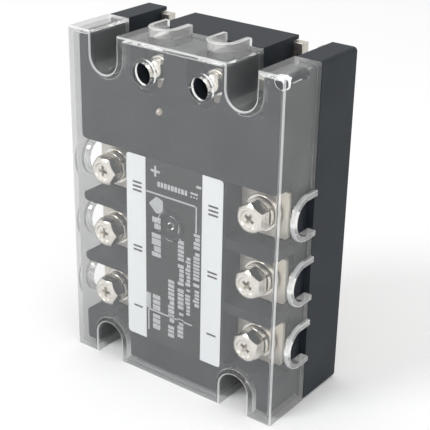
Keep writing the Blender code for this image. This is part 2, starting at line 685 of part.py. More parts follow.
def make_potting():
    """A slab of set gel across the rear cavity, which the terminal legs pass through."""
    radius = REAR_NOTCH_RADIUS + HOUSING_WALL + GAP
    outline = notched_outline(HOUSING_WALL + GAP, radius)
    slab = extruded("potting", [outline], "Y", y_at(POTTING_DEPTH), y_at(POTTING_DEPTH + POTTING_THICKNESS))
    slots = []
    inner = LEG_INNER_X - GAP
    outer = LEG_INNER_X + LEG_THICKNESS + GAP
    half = LEG_HEIGHT / 2 + GAP
    through = (y_at(POTTING_DEPTH - REACH), y_at(POTTING_DEPTH + POTTING_THICKNESS + REACH))
    for ending, sign, z in main_places():
        slot_x = (sign * inner, sign * outer)
        slots.append(box(f"potting_slot_{ending}", slot_x, through, (z - half, z + half)))
    combine(slab, "DIFFERENCE", slots, "slots")
    return finish(slab, POTTING)


make_cover()
make_housing()
make_base_plate()
make_main_terminals()
make_input_terminals()
make_label()
make_led()
make_board()
make_power_stage()
make_potting()
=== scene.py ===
import json
import math
import random

import bmesh
import bpy
from mathutils import Matrix, Vector

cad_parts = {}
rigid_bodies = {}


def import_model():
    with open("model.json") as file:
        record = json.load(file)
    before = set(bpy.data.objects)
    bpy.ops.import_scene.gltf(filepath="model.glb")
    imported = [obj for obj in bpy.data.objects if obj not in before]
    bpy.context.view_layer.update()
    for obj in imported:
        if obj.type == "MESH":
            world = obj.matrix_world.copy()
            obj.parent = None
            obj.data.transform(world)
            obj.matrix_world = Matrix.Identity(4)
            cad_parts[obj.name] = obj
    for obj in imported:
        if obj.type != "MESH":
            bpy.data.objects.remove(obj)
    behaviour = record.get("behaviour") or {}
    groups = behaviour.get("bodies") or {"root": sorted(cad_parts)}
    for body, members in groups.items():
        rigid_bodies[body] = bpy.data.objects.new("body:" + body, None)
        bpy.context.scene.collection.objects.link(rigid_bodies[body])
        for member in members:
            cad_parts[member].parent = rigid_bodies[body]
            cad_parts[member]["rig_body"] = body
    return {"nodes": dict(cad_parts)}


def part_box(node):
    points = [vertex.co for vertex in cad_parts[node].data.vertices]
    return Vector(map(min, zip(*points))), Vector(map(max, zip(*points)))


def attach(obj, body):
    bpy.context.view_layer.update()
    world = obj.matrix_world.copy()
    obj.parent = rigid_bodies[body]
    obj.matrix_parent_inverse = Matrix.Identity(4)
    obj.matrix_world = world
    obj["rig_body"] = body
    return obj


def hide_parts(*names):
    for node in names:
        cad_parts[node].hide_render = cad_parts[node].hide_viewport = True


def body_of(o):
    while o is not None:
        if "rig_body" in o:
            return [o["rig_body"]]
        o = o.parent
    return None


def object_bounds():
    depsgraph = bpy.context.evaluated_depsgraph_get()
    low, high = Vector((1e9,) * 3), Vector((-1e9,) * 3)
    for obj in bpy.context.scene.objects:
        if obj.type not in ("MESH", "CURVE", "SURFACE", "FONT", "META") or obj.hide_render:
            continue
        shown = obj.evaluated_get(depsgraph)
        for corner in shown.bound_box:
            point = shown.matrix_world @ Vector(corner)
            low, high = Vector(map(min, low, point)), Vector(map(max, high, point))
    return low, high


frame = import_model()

# Looks for a three-phase solid state relay, in metres.
# X runs across the case and Z along it, and the front faces -Y.
CAD_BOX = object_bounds()
MM = 0.001
COVER_LOW, COVER_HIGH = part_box("clear_cover")
HOUSING_LOW, HOUSING_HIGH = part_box("housing")
BASE_LOW, BASE_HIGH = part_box("base_plate")

# Case, read from the frame where a node gives it
HALF_WIDTH = HOUSING_HIGH.x
HEIGHT = HOUSING_HIGH.z
FRONT_Y = COVER_LOW.y
COVER_BACK_Y = COVER_HIGH.y
BACK_Y = BASE_HIGH.y
PLATEAU_Y = HOUSING_LOW.y

# Cover
CUT_PAST = MM
COVER_WALL = 1.4 * MM
COVER_EDGE = 0.45 * MM
NOTCH_X = 24 * MM
NOTCH_RADIUS = 5 * MM
NOTCH_CENTRE = 7 * MM
SIDE_ENTRY_RADIUS = 5.3 * MM
SIDE_RIM = 1.6 * MM
SIDE_ENTRY_DEPTH = 12.5 * MM
ENTRY_CUT = 3 * MM
TOP_ENTRY_X = 10.2 * MM
TOP_ENTRY_RADIUS = 3.4 * MM
TOP_RIM = 1.5 * MM
TOP_ENTRY_DEPTH = 11.1 * MM
ACCESS_RADIUS = 3.25 * MM
ACCESS_COLLAR_RADIUS = 4.2 * MM
ACCESS_COLLAR_DEPTHS = (0.6 * MM, 2.2 * MM)
RIM_SOFTENING = 0.3 * MM
GATE_RADIUS = 1.1 * MM
PEG_INSET = 1.9 * MM
PEG_RIDGES = 4
NUB_REACH = 4.6 * MM
NUB_DEPTHS = (0.7 * MM, 4.6 * MM)

# Housing
SIDE_INSET = 2.2 * MM
SHOULDER_DEPTH = 17.3 * MM
POCKET_INNER_X = 18.2 * MM
POCKET_HEIGHT = 17.1 * MM
POCKET_DEPTH = 11.5 * MM
WELL_RADIUS = 6 * MM
WELL_DEPTH = 10.5 * MM
BARRIER_FLARE = 1.4 * MM
LAMP_HOLE_RADIUS = 1.4 * MM
FRONT_CAVITY_HALF_WIDTH = 16.2 * MM
FRONT_CAVITY_DEPTHS = (5.2 * MM, 21 * MM)
FRONT_CAVITY_HEIGHTS = (9.5 * MM, 88 * MM)
REAR_CAVITY_DEPTH = 20 * MM
LEG_SLOT_X = (18.8 * MM, 20.8 * MM)
LEG_SLOT_HALF_HEIGHT = 5.3 * MM
LEG_SLOT_START = 10.5 * MM
GAP = 0.3 * MM

# Screws and washers
MAIN_HEAD_ACROSS = 8 * MM
MAIN_HEAD_HEIGHT = 4.2 * MM
MAIN_SHANK_RADIUS = 2.5 * MM
MAIN_PITCH = 0.8 * MM
MAIN_HOLE_RADIUS = 2.8 * MM
INPUT_HEAD_RADIUS = 3.0 * MM
INPUT_HEAD_HEIGHT = 2.2 * MM
INPUT_SHANK_RADIUS = 2.0 * MM
INPUT_PITCH = 0.7 * MM
INPUT_HOLE_RADIUS = 2.3 * MM

# Terminal strips
MAIN_STRIP_START_X = 18.9 * MM
MAIN_STRIP_THICKNESS = 1.5 * MM
MAIN_LEG_X = (19.1 * MM, 20.4 * MM)
MAIN_LEG_THICKNESS = 1.2 * MM
MAIN_LEG_HALF_HEIGHT = 5 * MM
INPUT_EYE_RADIUS = 3.6 * MM
INPUT_TAIL_HALF_WIDTH = 1.2 * MM
INPUT_TAIL_END = 12.5 * MM

# Label, seen from the front
LABEL_CORNER = 1.2 * MM
STRIP_INNER_X = 10.35 * MM
INK = 0.04 * MM
PIP_X = {-1: -13.5 * MM, 1: 14.3 * MM}
PIP_Z = {1: 21.2 * MM, 2: 40.9 * MM, 3: 60.9 * MM}

SIDES = (("left", -1), ("right", 1))
HEAD_TURNS = {-1: 0, 1: 30}
MAIN_ENDINGS = [(f"{side}_{row}", sign) for side, sign in SIDES for row in (1, 2, 3)]


def middle(node):
    """The middle of a CAD node's box."""
    low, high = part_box(node)
    return (low + high) / 2


def depth_y(depth):
    """The Y of a depth measured back from the cover's front."""
    return FRONT_Y + depth


# ---------------------------------------------------------------- shape helpers

def arc(centre, radius, start, end, steps=24):
    angles = [math.radians(start + (end - start) * i / steps) for i in range(steps + 1)]
    return [(centre[0] + radius * math.cos(a), centre[1] + radius * math.sin(a)) for a in angles]


def circle(centre, radius, steps=48):
    return arc(centre, radius, 0, 360, steps)[:-1]


def rounded_rectangle(left, right, bottom, top, radius, steps=6):
    return (
        arc((right - radius, bottom + radius), radius, -90, 0, steps)
        + arc((right - radius, top - radius), radius, 0, 90, steps)
        + arc((left + radius, top - radius), radius, 90, 180, steps)
        + arc((left + radius, bottom + radius), radius, 180, 270, steps)
    )


def rounded(points, radii, steps=5):
    """A polygon with its corners rounded, each by its own radius."""
    made = []
    count = len(points)
    for i, point in enumerate(points):
        radius = radii[i] if isinstance(radii, (list, tuple)) else radii
        here = Vector(point)
        before = Vector(points[i - 1]) - here
        after = Vector(points[(i + 1) % count]) - here
        if radius <= 0:
            made.append(tuple(here))
            continue
        reach = radius / math.tan(before.angle(after) / 2)
        reach = min(reach, before.length * 0.49, after.length * 0.49)
        start = here + before.normalized() * reach
        end = here + after.normalized() * reach
        for step in range(steps + 1):
            t = step / steps
            made.append(tuple(start * (1 - t) ** 2 + here * 2 * t * (1 - t) + end * t ** 2))
    return made


def notched_outline(inset, notch_radius, corner=0.6 * MM, steps=24):
    """The case seen from the front, inset from full size, with the four U notches of this radius."""
    left, right = inset - HALF_WIDTH, HALF_WIDTH - inset
    bottom, top = inset, HEIGHT - inset
    points = arc((left + corner, bottom + corner), corner, 180, 270, 4)
    for x in (-NOTCH_X, NOTCH_X):
        points.append((x - notch_radius, bottom))
        points += arc((x, NOTCH_CENTRE), notch_radius, 180, 0, steps)
        points.append((x + notch_radius, bottom))
    points += arc((right - corner, bottom + corner), corner, -90, 0, 4)
    points += arc((right - corner, top - corner), corner, 0, 90, 4)
    for x in (NOTCH_X, -NOTCH_X):
        points.append((x + notch_radius, top))
        points += arc((x, HEIGHT - NOTCH_CENTRE), notch_radius, 0, -180, steps)
        points.append((x - notch_radius, top))
    points += arc((left + corner, top - corner), corner, 90, 180, 4)
    return points


def cross(a, b):
    """The outline of an upright cross, a from its middle to each end and b to each side of an arm."""
    return [(a, -b), (a, b), (b, b), (b, a), (-b, a), (-b, b), (-a, b), (-a, -b), (-b, -b), (-b, -a), (b, -a),
            (b, -b)]


def arch(centre, radius, open_end, steps=24):
    """A U in two coordinates: a half circle bulging to lower values of the first one, open at open_end."""
    v = centre[1]
    return [(open_end, v + radius)] + arc(centre, radius, 90, 270, steps) + [(open_end, v - radius)]


AXES = {
    "X": lambda u, v, w: (w, u, v),
    "Y": lambda u, v, w: (u, w, v),
    "Z": lambda u, v, w: (u, v, w),
}


def made_object(name, shape):
    mesh = bpy.data.meshes.new(name)
    bmesh.ops.recalc_face_normals(shape, faces=shape.faces)
    shape.to_mesh(mesh)
    shape.free()
    thing = bpy.data.objects.new(name, mesh)
    bpy.context.scene.collection.objects.link(thing)
    return thing


def prism(name, outline, axis, start, end, soften=0.0, soften_end=0.0, taper=1.0):
    """A solid of a flat outline from start to end along an axis.

    The edges at either end may be rounded, and the far end may be scaled by taper.
    """
    shape = bmesh.new()
    place = AXES[axis]
    near = [shape.verts.new(place(u, v, start)) for u, v in outline]
    far = [shape.verts.new(place(u * taper, v * taper, end)) for u, v in outline]
    shape.faces.new(near)
    shape.faces.new(far[::-1])
    for i in range(len(outline)):
        j = (i + 1) % len(outline)
        shape.faces.new((near[j], near[i], far[i], far[j]))
    bmesh.ops.recalc_face_normals(shape, faces=shape.faces)
    index = "XYZ".index(axis)
    for width, level in ((soften, start), (soften_end, end)):
        if width <= 0:
            continue
        rim = [edge for edge in shape.edges if all(abs(v.co[index] - level) < 1e-7 for v in edge.verts)]
        bmesh.ops.bevel(
            shape, geom=rim, offset=width, segments=3, profile=0.5, affect="EDGES", clamp_overlap=True,
        )
    return made_object(name, shape)


def box(name, x, y, z):
    outline = [(min(x), min(z)), (max(x), min(z)), (max(x), max(z)), (min(x), max(z))]
    return prism(name, outline, "Y", min(y), max(y))


def skinned(shape, rings, closed):
    """Joins rings of vertices, of which any may be a single point, into a skin."""
    pairs = list(zip(rings, rings[1:]))
    if closed:
        pairs.append((rings[-1], rings[0]))
    for one, two in pairs:
        steps = max(len(one), len(two))
        for i in range(steps):
            j = (i + 1) % steps
            if len(one) == 1:
                shape.faces.new((one[0], two[i], two[j]))
            elif len(two) == 1:
                shape.faces.new((one[i], two[0], one[j]))
            else:
                shape.faces.new((one[i], two[i], two[j], one[j]))


def turned(name, profile, steps=48):
    """A solid turned about Y from (radius, y) points. A radius of 0 closes an end, otherwise it is a ring."""
    shape = bmesh.new()
    rings = []
    for radius, y in profile:
        if radius < 1e-9:
            rings.append([shape.verts.new((0, y, 0))])
        else:
            rings.append([shape.verts.new((u, y, v)) for u, v in circle((0, 0), radius, steps)])
    skinned(shape, rings, closed=len(rings[0]) > 1)
    return made_object(name, shape)


def threaded_rod(name, radius, pitch, start, end, steps=20):
    """A rod along Y with a real helical thread, smooth at the start and tapered at the end."""
    shape = bmesh.new()
    depth = 0.6 * pitch
    rows = math.ceil((end - start) / pitch * 6)
    rings = [[shape.verts.new((0, start, 0))]]
    for row in range(rows + 1):
        y = start + (end - start) * row / rows
        ring = []
        for i in range(steps):
            turn = i / steps
            phase = (y / pitch - turn) % 1
            bite = depth * min(1, abs(2 * phase - 1) * 1.25)
            bite *= min(1, max(0, (y - start) / pitch - 1))
            inward = max(0, radius * 0.28 - (end - y))
            r = radius - max(bite, inward)
            a = 2 * math.pi * turn
            ring.append(shape.verts.new((r * math.cos(a), y, r * math.sin(a))))
        rings.append(ring)
    rings.append([shape.verts.new((0, end, 0))])
    skinned(shape, rings, closed=False)
    return made_object(name, shape)


def apply_modifiers(thing):
    bpy.context.view_layer.update()
    graph = bpy.context.evaluated_depsgraph_get()
    mesh = bpy.data.meshes.new_from_object(thing.evaluated_get(graph))
    thing.modifiers.clear()
    thing.data = mesh
    mesh.name = thing.name


def combine(target, operation, tools):
    """Applies one exact Boolean of all the tools on the target, and removes them."""
    group = bpy.data.collections.new(f"{target.name}_tools")
    for tool in tools:
        bpy.context.scene.collection.objects.unlink(tool)
        group.objects.link(tool)
    bpy.context.scene.collection.children.link(group)
    step = target.modifiers.new("combine", "BOOLEAN")
    step.operation = operation
    step.operand_type = "COLLECTION"
    step.collection = group
    step.solver = "EXACT"
    apply_modifiers(target)
    for tool in tools:
        bpy.data.objects.remove(tool)
    bpy.data.collections.remove(group)
    return target


def cleaned(thing, join=0.003 * MM):
    """Removes the slivers a Boolean leaves."""
    shape = bmesh.new()
    shape.from_mesh(thing.data)
    bmesh.ops.remove_doubles(shape, verts=shape.verts, dist=join)
    bmesh.ops.dissolve_degenerate(shape, edges=shape.edges, dist=join)
    bmesh.ops.dissolve_limit(shape, angle_limit=math.radians(0.3), verts=shape.verts, edges=shape.edges)
    shape.to_mesh(thing.data)
    shape.free()
    return thing


def soften_edges(thing, width, segments=2, angle=35):
    """Rounds every sharp edge of a finished shape."""
    cleaned(thing)
    step = thing.modifiers.new("soften", "BEVEL")
    step.width = width
    step.segments = segments
    step.limit_method = "ANGLE"
    step.angle_limit = math.radians(angle)
    step.miter_outer = "MITER_ARC"
    step.use_clamp_overlap = True
    apply_modifiers(thing)
    return thing


def finish_piece(thing, name, material, nodes=(), body=None, angle=40):
    """Names, shades and colours a piece, and gives it to the CAD nodes it stands for."""
    thing.name = name
    thing.data.name = name
    thing.data.materials.clear()
    thing.data.materials.append(material)
    thing.data.shade_smooth()
    thing.data.set_sharp_from_angle(angle=math.radians(angle))
    step = thing.modifiers.new("weigh", "WEIGHTED_NORMAL")
    step.keep_sharp = True
    step.weight = 50
    apply_modifiers(thing)
    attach(thing, body or body_of(frame["nodes"][nodes[0]])[0])
    if nodes:
        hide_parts(*nodes)
    return thing


def copy_at(thing, location, turn=0.0):
    """A piece of its own with the same shape, turned about Y by so many degrees, at another place."""
    made = bpy.data.objects.new(thing.name, thing.data.copy())
    place = Matrix.Translation(location) @ Matrix.Rotation(math.radians(turn), 4, "Y")
    made.data.transform(place)
    bpy.context.scene.collection.objects.link(made)
    return made


# ---------------------------------------------------------------- materials

def node_material(name):
    """A new material, its node tree and its Principled shader."""
    made = bpy.data.materials.new(name)
    made.use_nodes = True
    tree = made.node_tree
    return made, tree, tree.nodes["Principled BSDF"]


def coordinates(tree, scale=(1, 1, 1)):
    """Object coordinates in metres, stretched by scale."""
    source = tree.nodes.new("ShaderNodeTexCoord")
    mapping = tree.nodes.new("ShaderNodeMapping")
    mapping.inputs["Scale"].default_value = scale
    tree.links.new(source.outputs["Object"], mapping.inputs["Vector"])
    return mapping.outputs["Vector"]


def noise(tree, vector, scale, detail=3, roughness=0.5):
    node = tree.nodes.new("ShaderNodeTexNoise")
    node.inputs["Scale"].default_value = scale
    node.inputs["Detail"].default_value = detail
    node.inputs["Roughness"].default_value = roughness
    tree.links.new(vector, node.inputs["Vector"])
    return node.outputs["Fac"]


def ramp(tree, source, stops):
    """A colour ramp from (position, colour) stops. A number stands for a grey."""
    node = tree.nodes.new("ShaderNodeValToRGB")
    elements = node.color_ramp.elements
    while len(elements) < len(stops):
        elements.new(0.5)
    for element, (position, colour) in zip(elements, stops):
        element.position = position
        element.color = (*colour, 1) if isinstance(colour, tuple) else (colour, colour, colour, 1)
    tree.links.new(source, node.inputs["Fac"])
    return node.outputs["Color"]


def maths(tree, operation, one, two):
    node = tree.nodes.new("ShaderNodeMath")
    node.operation = operation
    for socket, value in zip(node.inputs, (one, two)):
        if isinstance(value, (int, float)):
            socket.default_value = value
        else:
            tree.links.new(value, socket)
    return node.outputs["Value"]


def bump(tree, shader, height, distance):
    node = tree.nodes.new("ShaderNodeBump")
    node.inputs["Distance"].default_value = distance
    tree.links.new(height, node.inputs["Height"])
    if shader.inputs["Normal"].is_linked:
        tree.links.new(shader.inputs["Normal"].links[0].from_socket, node.inputs["Normal"])
    tree.links.new(node.outputs["Normal"], shader.inputs["Normal"])


def moulded(name, dark, light, roughness=(0.42, 0.58), grain=0.012 * MM, cloud_size=60, grain_size=2600):
    """Dull moulded plastic, film or ceramic with a fine grain."""
    made, tree, shader = node_material(name)
    where = coordinates(tree)
    tree.links.new(ramp(tree, noise(tree, where, cloud_size, 4), [(0.3, dark), (0.7, light)]),
                   shader.inputs["Base Color"])
    fine = noise(tree, where, grain_size, 2, 0.6)
    tree.links.new(ramp(tree, fine, [(0.25, roughness[0]), (0.75, roughness[1])]), shader.inputs["Roughness"])
    bump(tree, shader, fine, grain)
    return made


def plated(name, dark, light, roughness=(0.2, 0.36), stretch=(1, 1, 1), grain=0.006 * MM):
    """Plated metal with cloudy tone and fine marks, drawn out along one axis by stretch."""
    made, tree, shader = node_material(name)
    tree.links.new(ramp(tree, noise(tree, coordinates(tree), 260, 4), [(0.3, dark), (0.7, light)]),
                   shader.inputs["Base Color"])
    marks = noise(tree, coordinates(tree, stretch), 1800, 3, 0.6)
    tree.links.new(ramp(tree, marks, [(0.3, roughness[0]), (0.7, roughness[1])]), shader.inputs["Roughness"])
    bump(tree, shader, marks, grain)
    shader.inputs["Metallic"].default_value = 1.0
    return made


def clear_plastic(name, tint, veil, dusty=1.0, bend=1.5, coat=0.0, milk=(0.84, 0.87, 0.90)):
    """Clear polycarbonate.

    Tint is what a wall lets through, veil the least and most of its milky haze, dusty the share of specks.
    Bend is the index of refraction, coat the gloss added where bend is too low to give any, and milk the
    colour of the haze.
    """
    made, tree, shader = node_material(name)
    shader.inputs["Base Color"].default_value = (*tint, 1)
    shader.inputs["Transmission Weight"].default_value = 1.0
    shader.inputs["IOR"].default_value = bend
    shader.inputs["Coat Weight"].default_value = coat
    shader.inputs["Coat Roughness"].default_value = 0.05
    where = coordinates(tree)
    smear = noise(tree, where, 90, 4)
    tree.links.new(ramp(tree, smear, [(0.35, 0.0), (0.8, 0.05)]), shader.inputs["Roughness"])
    bump(tree, shader, noise(tree, where, 30, 2), 0.03 * MM)
    haze = tree.nodes.new("ShaderNodeBsdfDiffuse")
    haze.inputs["Color"].default_value = (*milk, 1)
    dust = tree.nodes.new("ShaderNodeTexVoronoi")
    dust.inputs["Scale"].default_value = 420
    tree.links.new(where, dust.inputs["Vector"])
    specks = ramp(tree, dust.outputs["Distance"], [(0.0, 0.4 * dusty), (0.08, 0.25 * dusty), (0.11, 0.0)])
    rare = ramp(tree, noise(tree, where, 700, 1), [(0.60, 0.0), (0.66, 1.0)])
    cloud = ramp(tree, smear, [(0.3, veil[0]), (0.8, veil[1])])
    share = maths(tree, "ADD", maths(tree, "MULTIPLY", specks, rare), cloud)
    film = tree.nodes.new("ShaderNodeMixShader")
    tree.links.new(share, film.inputs[0])
    tree.links.new(shader.outputs[0], film.inputs[1])
    tree.links.new(haze.outputs[0], film.inputs[2])
    through = tree.nodes.new("ShaderNodeBsdfTransparent")
    through.inputs["Color"].default_value = (0.93, 0.94, 0.95, 1)
    paths = tree.nodes.new("ShaderNodeLightPath")
    lamps = tree.nodes.new("ShaderNodeMixShader")
    tree.links.new(paths.outputs["Is Shadow Ray"], lamps.inputs[0])
    tree.links.new(film.outputs[0], lamps.inputs[1])
    tree.links.new(through.outputs[0], lamps.inputs[2])
    tree.links.new(lamps.outputs[0], tree.nodes["Material Output"].inputs["Surface"])
    return made


def circuit_board(name):
    """Green solder mask over a raised pattern of tracks."""
    made, tree, shader = node_material(name)
    tracks = tree.nodes.new("ShaderNodeTexBrick")
    tracks.inputs["Scale"].default_value = 160
    tracks.inputs["Mortar Size"].default_value = 0.03
    source = tree.nodes.new("ShaderNodeTexCoord")
    turn = tree.nodes.new("ShaderNodeMapping")
    turn.inputs["Rotation"].default_value = (math.pi / 2, 0, 0)
    tree.links.new(source.outputs["Object"], turn.inputs["Vector"])
    tree.links.new(turn.outputs["Vector"], tracks.inputs["Vector"])
    mask = ramp(tree, tracks.outputs["Fac"], [(0.0, (0.012, 0.09, 0.035)), (1.0, (0.03, 0.18, 0.07))])
    tree.links.new(mask, shader.inputs["Base Color"])
    bump(tree, shader, tracks.outputs["Fac"], 0.03 * MM)
    weave = noise(tree, coordinates(tree), 1500, 2)
    tree.links.new(ramp(tree, weave, [(0.3, 0.3), (0.7, 0.45)]), shader.inputs["Roughness"])
    return made


def banded_resistor(name):
    """Blue lacquer with rings of colour along Z."""
    made, tree, shader = node_material(name)
    where = coordinates(tree)
    split = tree.nodes.new("ShaderNodeSeparateXYZ")
    tree.links.new(where, split.inputs[0])
    low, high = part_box("dropping_resistor")
    along = tree.nodes.new("ShaderNodeMapRange")
    along.inputs["From Min"].default_value = low.z
    along.inputs["From Max"].default_value = high.z
    tree.links.new(split.outputs["Z"], along.inputs["Value"])
    blue, brown, black, red = (0.10, 0.24, 0.42), (0.16, 0.06, 0.02), (0.02, 0.02, 0.02), (0.4, 0.03, 0.02)
    stops = [(0.0, blue), (0.18, brown), (0.25, blue), (0.36, black), (0.43, blue), (0.54, red), (0.61, blue)]
    colour = ramp(tree, along.outputs["Result"], stops)
    colour.node.color_ramp.interpolation = "CONSTANT"
    tree.links.new(colour, shader.inputs["Base Color"])
    fine = noise(tree, where, 1400, 2)
    tree.links.new(ramp(tree, fine, [(0.3, 0.3), (0.7, 0.5)]), shader.inputs["Roughness"])
    bump(tree, shader, fine, 0.01 * MM)
    return made


BLACK = moulded("housing_plastic", (0.009, 0.013, 0.018), (0.014, 0.019, 0.025), (0.5, 0.64), 0.0012 * MM)
BLACK.node_tree.nodes["Principled BSDF"].inputs["Specular IOR Level"].default_value = 0.28

# The cover is one piece in six materials. The walls and edges bend light less than the front panel, because
# at the true index a wall seen through the panel reflects all light inside it and shows as a black line. The
# left and bottom walls are tinted to pass half the light, a painted shade for the darker backdrop seen
# through them, and the edges' heavy white haze is a painted highlight.
WARM_MILK = (0.88, 0.88, 0.86)
EDGE_HIGHLIGHT_WHITE = (0.90, 0.91, 0.91)
CLEAR = clear_plastic("cover_plastic", (0.95, 0.955, 0.955), (0.014, 0.028))
WALLS = clear_plastic("cover_wall_plastic", (0.90, 0.905, 0.895), (0.03, 0.065), 0.5, 1.05, 0.4, WARM_MILK)
# Painted shade: the left and bottom walls pass half the light, darker than the clear right and top walls.
SHADED_WALLS = clear_plastic(
    "cover_wall_painted_shade", (0.50, 0.505, 0.50), (0.03, 0.06), 0.5, 1.05, 0.4, WARM_MILK,
)
# Painted highlight: a heavy white haze on the bevelled edges stands in for the bright lines that light draws
# along clear edges.
EDGES = clear_plastic("cover_edge_painted_highlight", (0.95, 0.955, 0.95), (0.40, 0.56), 0.5, 1.05, 0.4, EDGE_HIGHLIGHT_WHITE)
COLLARS = clear_plastic("cover_collar_plastic", (0.92, 0.92, 0.91), (0.16, 0.30), 0.5, 1.3, 0.4, WARM_MILK)
NUB = moulded("cover_nub_plastic", (0.84, 0.85, 0.85), (0.95, 0.955, 0.955), (0.16, 0.3), 0.004 * MM, 300)
COVER_LOOKS = [CLEAR, WALLS, SHADED_WALLS, EDGES, COLLARS, NUB]
NICKEL = plated(
    "terminal_nickel", (0.80, 0.75, 0.675), (0.91, 0.86, 0.785), (0.44, 0.56), (1, 1, 0.12), 0.003 * MM,
)
STEEL = plated("screw_plating", (0.70, 0.66, 0.595), (0.86, 0.82, 0.755), (0.14, 0.26), (1, 1, 1), 0.002 * MM)
BASE_METAL = plated("milled_base", (0.50, 0.47, 0.42), (0.64, 0.61, 0.56), (0.32, 0.46), (0.05, 1, 1))
FILM_DARK = moulded("film_dark", (0.012, 0.013, 0.014), (0.018, 0.019, 0.020), (0.48, 0.56), 0.001 * MM, 25)
FILM_WHITE = moulded("film_white", (0.75, 0.765, 0.77), (0.80, 0.815, 0.825), (0.48, 0.56), 0.001 * MM, 25)
INK_WHITE = moulded("ink_white", (0.40, 0.41, 0.42), (0.52, 0.53, 0.54), (0.5, 0.6), 0.001 * MM, 900)
INK_DARK = moulded("ink_dark", (0.03, 0.03, 0.03), (0.06, 0.06, 0.06), (0.5, 0.6), 0.001 * MM, 900)
LENS = moulded("lamp_lens", (0.40, 0.345, 0.30), (0.52, 0.455, 0.40), (0.12, 0.22), 0.004 * MM, 300)

CARRIED_OVER = {
    "main_nut_": STEEL,
    "input_nut_": STEEL,
    "control_board": circuit_board("solder_mask"),
    "optocoupler_": moulded("epoxy", (0.020, 0.020, 0.022), (0.034, 0.034, 0.036), (0.45, 0.62)),
    "input_rectifier": moulded("rectifier_epoxy", (0.022, 0.021, 0.020), (0.036, 0.034, 0.032), (0.4, 0.6)),
    "smoothing_capacitor": moulded(
        "capacitor_sleeve", (0.014, 0.016, 0.030), (0.024, 0.027, 0.044), (0.25, 0.36),
    ),
    "dropping_resistor": banded_resistor("resistor_lacquer"),
    "ceramic_substrate_": moulded(
        "alumina", (0.72, 0.71, 0.66), (0.84, 0.83, 0.79), (0.5, 0.66), 0.008 * MM, 120,
    ),
    "thyristor_chip_": plated("chip_metal", (0.24, 0.25, 0.28), (0.34, 0.35, 0.38), (0.18, 0.3)),
    "potting": moulded("potting_gel", (0.24, 0.21, 0.17), (0.34, 0.30, 0.25), (0.3, 0.5), 0.05 * MM, 40, 220),
}


def colour_carried_over():
    for start, material in CARRIED_OVER.items():
        for name, node in frame["nodes"].items():
            if name.startswith(start):
                node.data.materials.clear()
                node.data.materials.append(material)


# ---------------------------------------------------------------- cover

def make_cover():
    cover = prism("cover", notched_outline(0, NOTCH_RADIUS), "Y", FRONT_Y, COVER_BACK_Y, COVER_EDGE)
    inside = notched_outline(COVER_WALL, NOTCH_RADIUS + COVER_WALL, 0.4 * MM)
    cavity = prism("cavity", inside, "Y", depth_y(COVER_WALL), COVER_BACK_Y + 2 * CUT_PAST, RIM_SOFTENING)
    combine(cover, "DIFFERENCE", [cavity])
    rims = []
    openings = []
    for ending, sign in MAIN_ENDINGS:
        add_side_entry(rims, openings, sign, middle(f"main_screw_{ending}").z)
    for side, sign in SIDES:
        add_top_entry(rims, openings, sign)
        hole = middle(f"input_screw_{side}")
        collar_start, collar_end = ACCESS_COLLAR_DEPTHS
        collar = circle((hole.x, hole.z), ACCESS_COLLAR_RADIUS)
        rims.append(prism("collar", collar, "Y", depth_y(collar_start), depth_y(collar_end)))
        access = circle((hole.x, hole.z), ACCESS_RADIUS)
        openings.append(prism("access", access, "Y", depth_y(-CUT_PAST), depth_y(4 * MM)))
    openings.append(turned_mark())
    combine(cover, "UNION", rims)
    combine(cover, "DIFFERENCE", openings)
    combine(cover, "UNION", [corner_peg(), gate_nub()])
    soften_edges(cover, 0.13 * MM, 2)
    finish_piece(cover, "cover_shell", CLEAR, ["clear_cover"])
    for material in COVER_LOOKS[1:]:
        cover.data.materials.append(material)
    for face in cover.data.polygons:
        corners = [cover.data.vertices[i].co for i in face.vertices]
        face.material_index = COVER_LOOKS.index(cover_look(face, corners))
    return cover


def add_side_entry(rims, openings, sign, z):
    """One wire entry in the cover's side: a C-shaped rim and the opening through it."""
    centre = (depth_y(SIDE_ENTRY_DEPTH), z)
    rim = arch(centre, SIDE_ENTRY_RADIUS + SIDE_RIM, COVER_BACK_Y)
    root = sign * (HALF_WIDTH - COVER_WALL / 2)
    rims.append(prism("rim", rim, "X", root, sign * COVER_HIGH.x, 0, RIM_SOFTENING))
    hole = arch(centre, SIDE_ENTRY_RADIUS, COVER_BACK_Y + CUT_PAST)
    start, end = sign * (HALF_WIDTH - ENTRY_CUT), sign * (HALF_WIDTH + ENTRY_CUT)
    openings.append(prism("entry", hole, "X", start, end))


def add_top_entry(rims, openings, sign):
    """One wire entry in the cover's top, for an input wire."""
    top = COVER_HIGH.z
    for radius, open_end, tools, low, high, soften in (
        (TOP_ENTRY_RADIUS + TOP_RIM, COVER_BACK_Y, rims, HEIGHT - COVER_WALL / 2, top, RIM_SOFTENING),
        (TOP_ENTRY_RADIUS, COVER_BACK_Y + CUT_PAST, openings, HEIGHT - ENTRY_CUT, top + 2 * CUT_PAST, 0),
    ):
        shape = arch((depth_y(TOP_ENTRY_DEPTH), 0), radius, open_end)
        outline = [(sign * TOP_ENTRY_X - v, u) for u, v in shape]
        tools.append(prism("top", outline, "Z", low, high, 0, soften))


